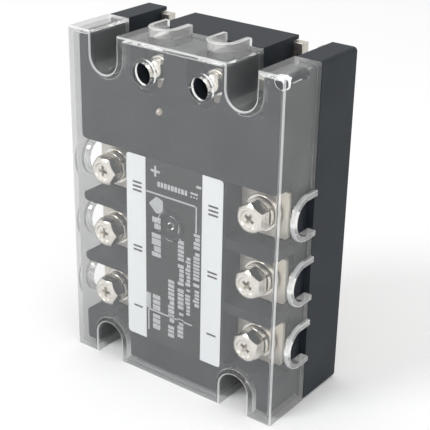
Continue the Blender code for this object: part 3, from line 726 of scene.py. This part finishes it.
def cover_look(face, corners):
    """The material of one face of the cover: panel, wall, far wall with painted shade, edge with painted
    highlight, collar or sprue nub.
    """
    depth = face.center.y - FRONT_Y
    beside = min(corner.x for corner in corners) > HALF_WIDTH - NUB_REACH
    above = min(corner.z for corner in corners) > HEIGHT - NUB_REACH
    inside = max(corner.x for corner in corners) < HALF_WIDTH - 0.2 * MM
    if beside and above and inside and NUB_DEPTHS[0] < depth < NUB_DEPTHS[1]:
        return NUB
    flat = max(abs(part) for part in face.normal) > 0.999
    proud = 0.05 * MM
    # Small bevelled faces of the rims take the painted highlight.
    if abs(face.center.x) > HALF_WIDTH + proud or face.center.z > HEIGHT + proud:
        return COLLARS if flat or face.area > 1.2 * MM * MM else EDGES
    # Rounded faces at the front and back rims take the painted highlight.
    if not flat and (depth < MM or face.center.y > COVER_BACK_Y - MM):
        return EDGES
    if abs(face.normal.y) > 0.5:
        return CLEAR
    # Faces of the left and bottom walls take the painted shade.
    painted_shade_side = face.center.x < 2 * MM - HALF_WIDTH or face.center.z < 2 * MM
    return SHADED_WALLS if painted_shade_side else WALLS


def gate_nub():
    """The small pip that the mould's gate leaves in the middle of the front panel's inside."""
    tip = 0.8 * MM
    nub = turned("nub", [(0, depth_y(MM)), (GATE_RADIUS, depth_y(MM)), (GATE_RADIUS, depth_y(1.5 * MM)),
                         (tip, depth_y(1.9 * MM)), (0, depth_y(2.0 * MM))], 24)
    nub.data.transform(Matrix.Translation((0, 0, HEIGHT / 2)))
    return nub


def corner_peg():
    """The sprue nub and its ribbed runner, left inside the cover's top right corner."""
    start = depth_y(0.9 * MM)
    profile = [(0, start), (1.5 * MM, start), (2.3 * MM, start + 1.0 * MM), (2.5 * MM, start + 2.4 * MM),
               (2.2 * MM, start + 3.3 * MM), (0, start + 3.5 * MM)]
    head = turned("peg", profile, 24)
    neck = 1.2 * MM
    ridge_radius = 1.5 * MM
    foot_radius = 1.8 * MM
    profile = [(0, depth_y(4.9 * MM)), (neck, depth_y(4.9 * MM))]
    for ridge in range(1, PEG_RIDGES + 1):
        foot = depth_y((4.7 + ridge) * MM)
        profile += [(neck, foot), (ridge_radius, foot + 0.25 * MM), (ridge_radius, foot + 0.5 * MM),
                    (neck, foot + 0.75 * MM)]
    profile += [(neck, depth_y(9.8 * MM)), (foot_radius, depth_y(10.2 * MM)),
                (foot_radius, depth_y(12.2 * MM)), (1.1 * MM, depth_y(12.7 * MM)), (0, depth_y(12.7 * MM))]
    peg = combine(turned("peg", profile, 24), "UNION", [head])
    peg.data.transform(Matrix.Translation((HALF_WIDTH - PEG_INSET, 0, HEIGHT - PEG_INSET)))
    near, far = 6 * MM, 0.5 * MM
    case = box("case", (HALF_WIDTH - near, HALF_WIDTH - far), (FRONT_Y + far, COVER_BACK_Y),
               (HEIGHT - near, HEIGHT - far))
    return combine(peg, "INTERSECT", [case])


def turned_mark():
    """The ring that the mould's gate leaves on the inside of the front panel."""
    inner = depth_y(COVER_WALL)
    behind = inner + CUT_PAST
    profile = [(3.0 * MM, behind), (3.0 * MM, inner), (3.3 * MM, inner - 0.25 * MM),
               (4.5 * MM, inner - 0.3 * MM), (4.85 * MM, inner), (4.85 * MM, behind)]
    mark = turned("mark", profile, 64)
    mark.data.transform(Matrix.Translation((0, 0, HEIGHT / 2)))
    return mark


# ---------------------------------------------------------------- housing and base plate

def pocket_outline(sign, z):
    """A terminal pocket seen from the front, flared at the case's side so that each barrier ends round."""
    outer = HALF_WIDTH - SIDE_INSET
    half = POCKET_HEIGHT / 2
    flare = BARRIER_FLARE
    points = [(POCKET_INNER_X, z - half), (outer - flare, z - half)]
    points += arc((outer - flare, z - half - flare), flare, 90, 0, 6)
    points += [(outer + 2 * MM, z - half - flare), (outer + 2 * MM, z + half + flare)]
    points += arc((outer - flare, z + half + flare), flare, 0, -90, 6)
    points += [(POCKET_INNER_X, z + half)]
    return [(sign * u, v) for u, v in points]


def notch_tool(x, z, outward, radius, start, end):
    """What cuts one U notch that opens to the near short end."""
    turn = 180 if outward > 0 else 0
    far = z + outward * 20 * MM
    outline = arc((x, z), radius, turn, turn + 180, 24)
    outline += [(x + radius * outward, far), (x - radius * outward, far)]
    return prism("notch", outline, "Y", start, end)


def make_housing():
    shoulder = depth_y(SHOULDER_DEPTH)
    rear_outline = rounded_rectangle(-HALF_WIDTH, HALF_WIDTH, 0, HEIGHT, 1.2 * MM)
    housing = prism("housing", rear_outline, "Y", shoulder, HOUSING_HIGH.y)
    side = HALF_WIDTH - SIDE_INSET
    front_outline = rounded_rectangle(-side, side, SIDE_INSET, HEIGHT - SIDE_INSET, 1.0 * MM)
    combine(housing, "UNION", [prism("block", front_outline, "Y", PLATEAU_Y, shoulder + CUT_PAST)])
    combine(housing, "DIFFERENCE", pocket_tools())
    walls = []
    notches = []
    clear = NOTCH_RADIUS + COVER_WALL + GAP
    for side, sign in SIDES:
        for z, outward in ((NOTCH_CENTRE, -1), (HEIGHT - NOTCH_CENTRE, 1)):
            x = sign * NOTCH_X
            walls.append(prism("wall", circle((x, z), clear + 0.5 * MM), "Y", PLATEAU_Y, shoulder + 0.5 * MM))
            notches.append(notch_tool(x, z, outward, clear, depth_y(0), shoulder))
            rear_radius = NOTCH_RADIUS + 0.5 * MM
            notches.append(notch_tool(x, z, outward, rear_radius, depth_y(10 * MM), BACK_Y + CUT_PAST))
    combine(housing, "UNION", walls)
    combine(housing, "DIFFERENCE", notches)
    combine(housing, "DIFFERENCE", inside_tools())
    soften_edges(housing, 0.25 * MM, 2)
    return finish_piece(housing, "housing_shell", BLACK, ["housing"])


def pocket_tools():
    """What cuts the terminal pockets and the wells of the input screws."""
    ahead = PLATEAU_Y - 2 * CUT_PAST
    tools = []
    for ending, sign in MAIN_ENDINGS:
        outline = pocket_outline(sign, middle(f"main_screw_{ending}").z)
        tools.append(prism("pocket", outline, "Y", ahead, depth_y(POCKET_DEPTH)))
    for side, sign in SIDES:
        place = middle(f"input_screw_{side}")
        well = [(place.x + WELL_RADIUS, HEIGHT + CUT_PAST)] + arc((place.x, place.z), WELL_RADIUS, 0, -180)
        well += [(place.x - WELL_RADIUS, HEIGHT + CUT_PAST)]
        tools.append(prism("well", well, "Y", ahead, depth_y(WELL_DEPTH)))
    return tools


def inside_tools():
    """What cuts the lamp's hole, the base plate's recess, the cavities and the terminal legs' slots."""
    lamp = middle("status_led")
    left, right = BASE_LOW.x - GAP, BASE_HIGH.x + GAP
    bottom, top = BASE_LOW.z - GAP, BASE_HIGH.z + GAP
    recess = [(left, bottom), (right, bottom), (right, top), (left, top)]
    rear = notched_outline(2 * MM, NOTCH_RADIUS + 2.5 * MM)
    front_start, front_end = [depth_y(depth) for depth in FRONT_CAVITY_DEPTHS]
    tools = [
        prism("lamp_hole", circle((lamp.x, lamp.z), LAMP_HOLE_RADIUS, 24), "Y",
              PLATEAU_Y - CUT_PAST, PLATEAU_Y + 3 * MM),
        prism("recess", recess, "Y", BASE_LOW.y - GAP, BACK_Y + CUT_PAST),
        prism("rear_cavity", rear, "Y", depth_y(REAR_CAVITY_DEPTH), BACK_Y),
        box("front_cavity", (-FRONT_CAVITY_HALF_WIDTH, FRONT_CAVITY_HALF_WIDTH), (front_start, front_end),
            FRONT_CAVITY_HEIGHTS),
    ]
    for ending, sign in MAIN_ENDINGS:
        z = middle(f"main_nut_{ending}").z
        tools.append(box("leg_slot", [sign * x for x in LEG_SLOT_X], (depth_y(LEG_SLOT_START), front_end),
                         (z - LEG_SLOT_HALF_HEIGHT, z + LEG_SLOT_HALF_HEIGHT)))
    return tools


def make_base_plate():
    plate = prism("plate", notched_outline(BASE_LOW.z, 2.4 * MM, 1.0 * MM, 16), "Y", BASE_LOW.y, BASE_HIGH.y,
                  0.2 * MM, 0.3 * MM)
    return finish_piece(plate, "base_slab", BASE_METAL, ["base_plate"])


# ---------------------------------------------------------------- screws and terminals

def cross_recess(half_long, half_wide, depth):
    """The tool that cuts a cross recess, narrower towards its bottom."""
    return prism("cross", cross(half_long, half_wide), "Y", -0.3 * MM, depth, taper=0.45)


def hexagon_screw():
    """An M5 hexagon head screw along Y, with the front of its chamfered and dished head at Y = 0."""
    low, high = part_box("main_screw_right_1")
    height = MAIN_HEAD_HEIGHT
    corner = MAIN_HEAD_ACROSS / math.sqrt(3)
    screw = prism("screw", circle((0, 0), corner, 6), "Y", 0, height)
    rim = [(0, 0), (3.1 * MM, 0), (3.55 * MM, 0.12 * MM), (3.95 * MM, 0.42 * MM), (4.75 * MM, 1.05 * MM),
           (4.75 * MM, height - 0.2 * MM), (4.3 * MM, height), (0, height)]
    combine(screw, "INTERSECT", [turned("rim", rim, 72)])
    shank = threaded_rod("shank", MAIN_SHANK_RADIUS, MAIN_PITCH, height - 0.4 * MM, high.y - low.y)
    combine(screw, "UNION", [shank])
    dish = [(0, -CUT_PAST), (3.3 * MM, -CUT_PAST), (2.75 * MM, 0), (2.45 * MM, 0.38 * MM),
            (1.8 * MM, 0.5 * MM), (0, 0.5 * MM)]
    combine(screw, "DIFFERENCE", [turned("dish", dish, 48)])
    combine(screw, "DIFFERENCE", [cross_recess(2.0 * MM, 0.62 * MM, 2.2 * MM)])
    return screw


def pan_screw():
    """An M4 pan head screw along Y, with the front of its head at Y = 0."""
    low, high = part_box("input_screw_right")
    height = INPUT_HEAD_HEIGHT
    radius = INPUT_HEAD_RADIUS
    head = [(0, 0), (1.6 * MM, 0.03 * MM), (2.3 * MM, 0.22 * MM), (2.8 * MM, 0.7 * MM), (radius, 1.3 * MM),
            (radius, height - 0.1 * MM), (radius - 0.1 * MM, height), (0, height)]
    screw = turned("screw", head, 48)
    shank = threaded_rod("shank", INPUT_SHANK_RADIUS, INPUT_PITCH, height - 0.4 * MM, high.y - low.y)
    combine(screw, "UNION", [shank])
    combine(screw, "DIFFERENCE", [cross_recess(1.75 * MM, 0.5 * MM, 1.8 * MM)])
    return screw


def ring(outer, inner, thickness, edge=0.15 * MM):
    """A flat washer with rounded edges, its front at Y = 0."""
    profile = [(inner, edge), (inner + edge, 0), (outer - edge, 0), (outer, edge), (outer, thickness - edge),
               (outer - edge, thickness), (inner + edge, thickness), (inner, thickness - edge)]
    return turned("washer", profile, 56)


def split_ring(outer, inner, thickness, steps=56):
    """A spring washer cut through at one place, its ends a little out of line."""
    shape = bmesh.new()
    edge = 0.14 * MM
    rise = 0.1 * MM
    gap_middle, cut = 35, 12
    tall = thickness - 2 * rise
    section = [(inner, edge), (inner + edge, 0), (outer - edge, 0), (outer, edge), (outer, tall - edge),
               (outer - edge, tall), (inner + edge, tall), (inner, tall - edge)]
    rings = []
    for i in range(steps + 1):
        angle = math.radians(gap_middle + cut / 2 + (360 - cut) * i / steps)
        lift = 2 * rise * i / steps
        cosine, sine = math.cos(angle), math.sin(angle)
        rings.append([shape.verts.new((r * cosine, y + lift, r * sine)) for r, y in section])
    skinned(shape, rings, closed=False)
    shape.faces.new(rings[0])
    shape.faces.new(rings[-1][::-1])
    return made_object("spring", shape)


def main_strip():
    """The right-hand terminal strip, bent back beside its pocket and inward at its foot, level with Z = 0."""
    low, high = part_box("main_terminal_right_1")
    half = (high.z - low.z) / 2
    hole_x = middle("main_screw_right_1").x
    outline = rounded_rectangle(MAIN_STRIP_START_X, high.x, -half, half, 0.9 * MM)
    plate = prism("plate", outline, "Y", low.y, low.y + MAIN_STRIP_THICKNESS)
    inner_x, outer_x = MAIN_LEG_X
    root = low.y + 1.1 * MM
    foot = high.y - MAIN_LEG_THICKNESS
    leg = [(inner_x, root), (inner_x, foot), (low.x, foot), (low.x, high.y), (outer_x, high.y),
           (outer_x, root)]
    leg = rounded(leg, [0, 0.6 * MM, 0.2 * MM, 0.2 * MM, 1.6 * MM, 0])
    combine(plate, "UNION", [prism("leg", leg, "Z", -MAIN_LEG_HALF_HEIGHT, MAIN_LEG_HALF_HEIGHT)])
    hole = circle((hole_x, 0), MAIN_HOLE_RADIUS, 40)
    combine(plate, "DIFFERENCE", [prism("hole", hole, "Y", low.y - CUT_PAST, low.y + 3 * MM)])
    return soften_edges(plate, 0.16 * MM, 2)


def input_strip():
    """An input terminal strip about its hole, with a tail that runs down to the board, its front at Y = 0."""
    tail = INPUT_TAIL_HALF_WIDTH
    meet = math.degrees(math.acos(tail / INPUT_EYE_RADIUS))
    outline = arc((0, 0), INPUT_EYE_RADIUS, -meet, 180 + meet, 40)
    outline += [(-tail, -INPUT_TAIL_END), (tail, -INPUT_TAIL_END)]
    plate = prism("plate", outline, "Y", 0, MM)
    hole = circle((0, 0), INPUT_HOLE_RADIUS, 36)
    combine(plate, "DIFFERENCE", [prism("hole", hole, "Y", -CUT_PAST, MM + CUT_PAST)])
    return soften_edges(plate, 0.12 * MM, 2)


def front_of(node):
    """The middle of a node's front, where a piece with its front at Y = 0 goes."""
    low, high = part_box(node)
    return Vector(((low.x + high.x) / 2, low.y, (low.z + high.z) / 2))


def make_terminals():
    masters = {
        "main_screw": (hexagon_screw(), STEEL, "zinc_plated_steel"),
        "spring_washer": (split_ring(4.6 * MM, MAIN_HOLE_RADIUS, 1.4 * MM), STEEL, "zinc_plated_steel"),
        "flat_washer": (ring(5.5 * MM, MAIN_HOLE_RADIUS, 1.1 * MM), STEEL, "zinc_plated_steel"),
    }
    for name, (master, material, slot) in masters.items():
        for ending, sign in MAIN_ENDINGS:
            node = f"{name}_{ending}"
            centre = front_of(node)
            centre.x = middle(f"main_screw_{ending}").x
            centre.z = middle(f"main_screw_{ending}").z
            turn = HEAD_TURNS[sign] if name == "main_screw" else 0
            finish_piece(copy_at(master, centre, turn), f"{node}_detail", material, [node])
    strip = main_strip()
    for ending, sign in MAIN_ENDINGS:
        node = f"main_terminal_{ending}"
        made = copy_at(strip, (0, 0, middle(node).z))
        if sign < 0:
            bpy.data.meshes[made.data.name].transform(Matrix.Scale(-1, 4, (1, 0, 0)))
            made.data.flip_normals()
        finish_piece(made, f"{node}_detail", NICKEL, [node])
    small = {
        "input_screw": (pan_screw(), STEEL, "zinc_plated_steel"),
        "input_washer": (ring(3.7 * MM, INPUT_HOLE_RADIUS, 0.8 * MM), STEEL, "zinc_plated_steel"),
        "input_terminal": (input_strip(), NICKEL, "nickel_plate"),
    }
    for name, (master, material, slot) in small.items():
        for side, sign in SIDES:
            node = f"{name}_{side}"
            centre = front_of(node)
            centre.z = middle(f"input_screw_{side}").z
            finish_piece(copy_at(master, centre), f"{node}_detail", material, [node])
    for entry in [*masters.values(), *small.values()]:
        bpy.data.objects.remove(entry[0])
    bpy.data.objects.remove(strip)


# ---------------------------------------------------------------- lamp and label

def make_lamp():
    """A lamp with a domed end, a flange and a flat back."""
    low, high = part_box("status_led")
    radius = 1.1 * MM
    flange = 1.6 * MM
    dome = [math.radians(90 * i / 8) for i in range(9)]
    profile = [(radius * math.sin(a), low.y + radius * (1 - math.cos(a))) for a in dome]
    profile += [(radius, depth_y(5.7 * MM)), (flange, depth_y(5.8 * MM)), (flange, high.y - 0.1 * MM),
                (flange - 0.1 * MM, high.y), (0, high.y)]
    lamp = turned("lamp", profile, 32)
    centre = middle("status_led")
    lamp.data.transform(Matrix.Translation((centre.x, 0, centre.z)))
    return finish_piece(lamp, "status_lamp", LENS, ["status_led"])


def ink_piece(name, outlines, material, layer=0):
    """Printed marks, each a thin raised shape, in one piece. Layer counts the layers of ink before them."""
    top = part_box("label")[0].y + layer * INK
    marks = [prism(name, outline, "Y", top, top + INK) for outline in outlines]
    made = marks[0]
    shape = bmesh.new()
    for mark in marks:
        shape.from_mesh(mark.data)
    shape.to_mesh(made.data)
    shape.free()
    for mark in marks[1:]:
        bpy.data.objects.remove(mark)
    return finish_piece(made, name, material, ["label"])


def bar(left, right, bottom, top, radius=0.12 * MM):
    return rounded_rectangle(left, right, bottom, top, radius, 2)


def word_row(draw, x, z, words, letter=0.95 * MM):
    """A row of short bars along Z that stands for a line of print. Each word is a count of bars."""
    bars = []
    place = z[1]
    for count in words:
        for _ in range(count):
            wide = letter * draw.uniform(0.75, 1.15)
            if place - wide < z[0]:
                return bars
            low_x = x[0] + (x[1] - x[0]) * draw.choice((0, 0, 0, 0.25))
            bars.append(bar(low_x, x[1], place - wide, place))
            place -= wide + 0.3 * MM
        place -= letter * 0.8
    return bars


def make_label():
    low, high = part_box("label")
    face = low.y + 2 * INK
    film = rounded_rectangle(low.x, high.x, low.z, high.z, LABEL_CORNER, 8)
    sheet = prism("film", film, "Y", face, high.y)
    finish_piece(sheet, "label_sheet", FILM_DARK, ["label"])

    strips = []
    for side, sign in SIDES:
        inner, outer = sign * STRIP_INNER_X, sign * high.x
        radii = [0, LABEL_CORNER, LABEL_CORNER, 0]
        strips.append(rounded([(inner, low.z), (outer, low.z), (outer, high.z), (inner, high.z)], radii, 8))
    ink_piece("label_strips", strips, FILM_WHITE, 1)

    draw = random.Random(7)
    half_stroke = 0.36 * MM
    marks = [[(u - 6.7 * MM, v + 67.4 * MM) for u, v in cross(1.65 * MM, half_stroke)]]
    marks.append(bar(8.2 * MM, 10.0 * MM, 66.25 * MM, 67.0 * MM))
    marks.append(bar(6.1 * MM, 8.8 * MM, 63.9 * MM, 64.5 * MM))
    marks += [circle((x * MM, 63.1 * MM), 0.3 * MM, 10) for x in (6.4, 7.4, 8.4)]
    place = -5.9 * MM
    while place < 4.6 * MM:
        wide = draw.uniform(0.8, 1.2) * MM
        marks.append(bar(place, place + wide, 62.9 * MM, 64.5 * MM))
        place += wide + 0.32 * MM
    marks.append(bar(-10.2 * MM, 8.0 * MM, 60.2 * MM, 60.7 * MM))
    marks.append(bar(8.05 * MM, 8.55 * MM, 52.3 * MM, 60.4 * MM))
    marks.append(bar(-9.2 * MM, 7.2 * MM, 21.45 * MM, 21.95 * MM))
    marks.append(bar(-9.7 * MM, -9.2 * MM, 14.5 * MM, 21.6 * MM))
    marks.append(bar(-10.3 * MM, -8.6 * MM, 21.9 * MM, 27.3 * MM))
    badge = [(-9.2, 56.9), (-6.3, 59.6), (-3.9, 58.8), (-3.9, 54.8), (-6.4, 54.3)]
    marks.append(rounded([(x * MM, z * MM) for x, z in badge], 0.5 * MM))
    marks += word_row(draw, (-7.9 * MM, -4.7 * MM), (48.2 * MM, 53.0 * MM), (2,), 1.9 * MM)
    marks += word_row(draw, (-8.1 * MM, -4.7 * MM), (39.5 * MM, 47.7 * MM), (9,), 1.8 * MM)
    marks += word_row(draw, (1.75 * MM, 3.95 * MM), (14.0 * MM, 48.3 * MM), (5, 5, 5, 1, 5), 1.15 * MM)
    marks += word_row(draw, (4.6 * MM, 6.4 * MM), (21.9 * MM, 43.7 * MM), (8, 1, 6))
    marks += word_row(draw, (7.5 * MM, 9.7 * MM), (22.7 * MM, 52.0 * MM), (4, 8, 1, 5))
    marks += word_row(draw, (-1.85 * MM, 0.45 * MM), (14.4 * MM, 34.2 * MM), (10, 3), 1.2 * MM)
    marks += word_row(draw, (-7.8 * MM, -4.95 * MM), (14.4 * MM, 27.3 * MM), (3, 3), 1.5 * MM)
    ink_piece("label_print", marks, INK_WHITE, 1)

    pips = []
    half_long, half_tall, pitch = 1.7 * MM, 0.3 * MM, 1.3 * MM
    for ending, sign in MAIN_ENDINGS:
        count = int(ending[-1])
        x = PIP_X[sign]
        start = PIP_Z[count] - (count - 1) * pitch / 2
        for i in range(count):
            level = start + i * pitch
            pips.append(bar(x - half_long, x + half_long, level - half_tall, level + half_tall))
    ink_piece("label_pips", pips, INK_DARK)


# ---------------------------------------------------------------- floor, light and camera

def make_stage():
    shape = bmesh.new()
    bmesh.ops.create_grid(shape, x_segments=2, y_segments=2, size=3)
    floor = made_object("floor", shape)
    floor.location.z = CAD_BOX[0][2] - 0.05 * MM
    made, tree, shader = node_material("floor_paper")
    shader.inputs["Roughness"].default_value = 0.9
    tone = ramp(tree, noise(tree, coordinates(tree), 3, 2), [(0.3, 0.82), (0.7, 0.835)])
    tree.links.new(tone, shader.inputs["Base Color"])
    floor.data.materials.append(made)
    world = bpy.data.worlds.new("studio")
    bpy.context.scene.world = world
    world.use_nodes = True
    background = world.node_tree.nodes["Background"]
    background.inputs["Color"].default_value = (1, 1, 1, 1)
    background.inputs["Strength"].default_value = 1.0


def area_light(name, location, size, power):
    """A square soft light of this size, aimed at the middle of the case."""
    data = bpy.data.lights.new(name, "AREA")
    data.size = size
    data.energy = power
    lamp = bpy.data.objects.new(name, data)
    lamp.location = location
    aim = Vector((0, 0, HEIGHT / 2)) - Vector(location)
    lamp.rotation_euler = aim.to_track_quat("-Z", "Y").to_euler()
    bpy.context.scene.collection.objects.link(lamp)


def make_camera():
    """The camera, at the front right and above. Its place and turn were solved from the case's corners."""
    data = bpy.data.cameras.new("camera")
    data.sensor_width = 36
    data.lens = 95.02
    camera = bpy.data.objects.new("camera", data)
    right = (0.79627, 0.60468, 0.01773)
    up = (-0.26564, 0.32319, 0.90829)
    back = (0.54349, -0.72795, 0.41798)
    place = (0.18619, -0.24517, 0.19170)
    camera.matrix_world = Matrix([*zip(right, up, back, place), (0, 0, 0, 1)])
    bpy.context.scene.collection.objects.link(camera)
    bpy.context.scene.camera = camera


colour_carried_over()
make_cover()
make_housing()
make_base_plate()
make_terminals()
make_lamp()
make_label()
make_stage()
area_light("key", (-0.45, -0.75, 0.85), 0.4, 5)
area_light("fill", (0.7, -0.4, 0.6), 0.5, 1.5)
make_camera()
bpy.context.scene.view_settings.view_transform = "Standard"
